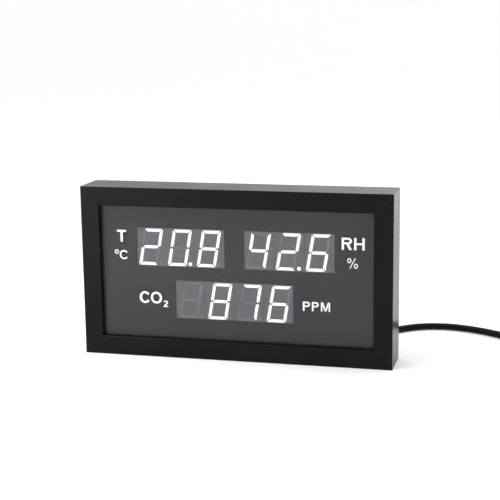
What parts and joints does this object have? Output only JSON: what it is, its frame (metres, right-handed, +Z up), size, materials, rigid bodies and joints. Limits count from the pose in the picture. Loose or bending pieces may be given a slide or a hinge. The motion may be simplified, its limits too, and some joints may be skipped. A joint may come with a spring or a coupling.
{
  "type": "carbon dioxide monitor",
  "caption": "Desk display for carbon dioxide, temperature and humidity: deep black frame, smoked window, lit digits, vented rear cover, mains lead with plug.",
  "frame": {"origin": "centre of the frame's lower face, on the surface the monitor stands on", "axes": "+X to the right seen from the front, +Y to the back (the display faces -Y), +Z up"},
  "size_m": [0.5381, 0.1886, 0.1775],
  "materials": {
    "frame_extrusion": "satin black anodised extrusion",
    "zinc_steel": "bright zinc plated",
    "window": "smoked, polished",
    "mask": "matt black film board",
    "digit_module": "grey moulded face with white light segments",
    "circuit_board": "glass fibre board with green solder mask",
    "rear_cover": "fine textured black powder coat on sheet steel",
    "brass_spacer": "turned hexagonal bar",
    "nylon": "natural nylon",
    "connector_plastic": "black moulded",
    "sensor_case": "gold flashed sensor cover",
    "button_plastic": "black moulded",
    "terminal_plastic": "green moulded",
    "relief_rubber": "moulded soft black",
    "cord_sheath": "extruded black sheath, satin",
    "tie_fabric": "woven hook and loop band",
    "plug_rubber": "moulded black",
    "pin_nickel": "nickel plated brass"
  },
  "bodies": {
    "monitor": {"frame_left": "frame_extrusion", "frame_top": "frame_extrusion", "frame_right": "frame_extrusion", "frame_bottom": "frame_extrusion", "corner_bracket_1": "zinc_steel", "corner_bracket_2": "zinc_steel", "corner_bracket_3": "zinc_steel", "corner_bracket_4": "zinc_steel", "front_window": "window", "display_mask": "mask", "temperature_digit_1": "digit_module", "temperature_digit_2": "digit_module", "temperature_digit_3": "digit_module", "humidity_digit_1": "digit_module", "humidity_digit_2": "digit_module", "humidity_digit_3": "digit_module", "co2_digit_1": "digit_module", "co2_digit_2": "digit_module", "co2_digit_3": "digit_module", "co2_digit_4": "digit_module", "display_board": "circuit_board", "rear_cover": "rear_cover", "cover_screw_1": "zinc_steel", "cover_screw_2": "zinc_steel", "cover_screw_3": "zinc_steel", "cover_screw_4": "zinc_steel", "cover_screw_5": "zinc_steel", "cover_screw_6": "zinc_steel", "board_spacer_1": "brass_spacer", "board_spacer_2": "brass_spacer", "board_spacer_3": "brass_spacer", "board_spacer_4": "brass_spacer", "main_board": "circuit_board", "main_standoff_1": "nylon", "main_standoff_2": "nylon", "board_header": "connector_plastic", "microcontroller": "connector_plastic", "co2_sensor": "sensor_case", "humidity_sensor": "nylon", "tact_switch_1": "connector_plastic", "tact_switch_2": "connector_plastic", "power_board": "circuit_board", "power_standoff_1": "nylon", "power_standoff_2": "nylon", "power_converter": "connector_plastic", "fuse_holder": "connector_plastic", "terminal_block": "terminal_plastic", "supply_cable": "cord_sheath", "mains_lead_inner_end": "cord_sheath", "strain_relief": "relief_rubber", "power_cord": "cord_sheath", "power_cord_coil": "cord_sheath", "power_cord_tail": "cord_sheath", "cord_tie": "tie_fabric", "plug_body": "plug_rubber", "plug_pin_1": "pin_nickel", "plug_pin_2": "pin_nickel"},
    "calibrate_button": {"calibrate_button": "button_plastic"},
    "brightness_button": {"brightness_button": "button_plastic"}
  },
  "joints": [
    {"name": "calibrate_press", "type": "slide", "parent": "monitor", "child": "calibrate_button", "axis": [0, -1, 0], "range_m": [0, 0.0012], "stiffness_N_per_m": 300},
    {"name": "brightness_press", "type": "slide", "parent": "monitor", "child": "brightness_button", "axis": [0, -1, 0], "range_m": [0, 0.0012], "stiffness_N_per_m": 300}
  ]
}
